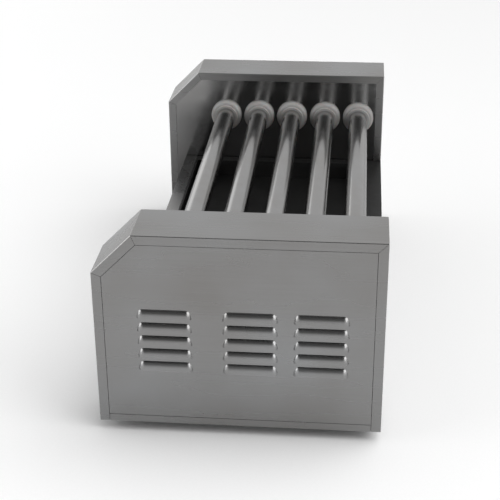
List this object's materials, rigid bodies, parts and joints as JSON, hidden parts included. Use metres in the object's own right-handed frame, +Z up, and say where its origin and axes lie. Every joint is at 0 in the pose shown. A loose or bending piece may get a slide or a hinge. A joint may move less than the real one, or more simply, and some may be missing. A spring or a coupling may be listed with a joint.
{
  "type": "roller grill",
  "caption": "Countertop electric roller grill: polished heated rollers turn between two louvred steel end housings, above a slide-out drip tray.",
  "frame": {"origin": "on the surface that the feet stand on, under the middle of the grill", "axes": "+X along the rollers to the drive housing, +Y from the control panel to the back, +Z up"},
  "size_m": [0.6082, 0.3, 0.232],
  "materials": {
    "stainless_brushed": "brushed stainless sheet",
    "stainless_mirror": "mirror-polished stainless sheet",
    "roller_steel": "ground and polished stainless tube",
    "black_coating": "black non-stick coating on steel",
    "seal_white": "white PTFE",
    "zinc_steel": "zinc-plated steel",
    "chain_steel": "oiled steel",
    "element_sheath": "heat-tinted steel sheath",
    "brass": "plain brass",
    "ceramic_white": "unglazed ceramic",
    "black_plastic": "black moulded plastic",
    "switch_red": "red moulded plastic",
    "lens_red": "clear red lens",
    "foot_rubber": "black rubber",
    "motor_grey": "grey painted motor case"
  },
  "bodies": {
    "frame": {"base_pan": "zinc_steel", "cable_gland": "black_plastic", "cover_screws": "zinc_steel", "deck": "black_coating", "dial_plates": "zinc_steel", "drive_chain": "chain_steel", "element_brackets": "zinc_steel", "element_busbars": "brass", "foot_screws": "zinc_steel", "front_panel": "stainless_brushed", "gear_motor": "motor_grey", "gland_nut": "black_plastic", "heating_elements": "element_sheath", "lamp_holders": "black_plastic", "lamp_lenses": "lens_red", "left_band": "stainless_brushed", "left_base_plate": "stainless_brushed", "left_cover": "stainless_brushed", "left_inner_wall": "stainless_mirror", "left_roller_seals": "seal_white", "motor_bracket": "zinc_steel", "motor_screws": "zinc_steel", "rear_panel": "stainless_brushed", "rear_panel_screws": "zinc_steel", "right_band": "stainless_brushed", "right_base_plate": "stainless_brushed", "right_cover": "stainless_brushed", "right_inner_wall": "stainless_mirror", "right_roller_seals": "seal_white", "rubber_feet": "foot_rubber", "switch_body": "black_plastic", "terminal_block": "ceramic_white", "terminal_clamps": "brass", "thermostats": "black_plastic", "tray_rails": "zinc_steel"},
    "roller_1": {"roller_1_tube": "roller_steel", "roller_1_sprocket": "chain_steel", "roller_1_collar": "zinc_steel"},
    "roller_2": {"roller_2_tube": "roller_steel", "roller_2_sprocket": "chain_steel", "roller_2_collar": "zinc_steel"},
    "roller_3": {"roller_3_tube": "roller_steel", "roller_3_sprocket": "chain_steel", "roller_3_collar": "zinc_steel"},
    "roller_4": {"roller_4_tube": "roller_steel", "roller_4_sprocket": "chain_steel", "roller_4_collar": "zinc_steel"},
    "roller_5": {"roller_5_tube": "roller_steel", "roller_5_sprocket": "chain_steel", "roller_5_collar": "zinc_steel"},
    "drive": {"drive_shaft": "zinc_steel", "drive_sprocket": "chain_steel"},
    "left_knob": {"left_knob": "black_plastic", "left_knob_spindle": "zinc_steel"},
    "right_knob": {"right_knob": "black_plastic", "right_knob_spindle": "zinc_steel"},
    "rocker": {"switch_rocker": "switch_red"},
    "tray": {"drip_tray": "black_coating", "tray_front": "stainless_brushed", "tray_handle": "stainless_brushed"}
  },
  "joints": [
    {"name": "roller_1_spin", "type": "hinge", "parent": "frame", "child": "roller_1", "pos_m": [0, -0.068, 0.172], "axis": [1, 0, 0], "continuous": true, "deforming": ["drive_chain"]},
    {"name": "roller_2_spin", "type": "hinge", "parent": "frame", "child": "roller_2", "pos_m": [0, -0.022, 0.172], "axis": [1, 0, 0], "continuous": true},
    {"name": "roller_3_spin", "type": "hinge", "parent": "frame", "child": "roller_3", "pos_m": [0, 0.024, 0.172], "axis": [1, 0, 0], "continuous": true},
    {"name": "roller_4_spin", "type": "hinge", "parent": "frame", "child": "roller_4", "pos_m": [0, 0.07, 0.172], "axis": [1, 0, 0], "continuous": true},
    {"name": "roller_5_spin", "type": "hinge", "parent": "frame", "child": "roller_5", "pos_m": [0, 0.116, 0.172], "axis": [1, 0, 0], "continuous": true},
    {"name": "drive_spin", "type": "hinge", "parent": "frame", "child": "drive", "pos_m": [0, 0.024, 0.08434], "axis": [1, 0, 0], "continuous": true},
    {"name": "left_knob_turn", "type": "hinge", "parent": "frame", "child": "left_knob", "pos_m": [-0.12, -0.135, 0.048], "axis": [0, 1, 0], "range_deg": [0, 270]},
    {"name": "right_knob_turn", "type": "hinge", "parent": "frame", "child": "right_knob", "pos_m": [0.12, -0.135, 0.048], "axis": [0, 1, 0], "range_deg": [0, 270]},
    {"name": "switch_rock", "type": "hinge", "parent": "frame", "child": "rocker", "pos_m": [0, -0.128, 0.048], "axis": [-1, 0, 0], "range_deg": [0, 18]},
    {"name": "tray_slide", "type": "slide", "parent": "frame", "child": "tray", "axis": [0, -1, 0], "range_m": [0, 0.22]}
  ],
  "couplings": [
    {"joint": "roller_2_spin", "follows": "roller_1_spin", "ratio": 1},
    {"joint": "roller_3_spin", "follows": "roller_1_spin", "ratio": 1},
    {"joint": "roller_4_spin", "follows": "roller_1_spin", "ratio": 1},
    {"joint": "roller_5_spin", "follows": "roller_1_spin", "ratio": 1},
    {"joint": "drive_spin", "follows": "roller_1_spin", "ratio": 1}
  ]
}
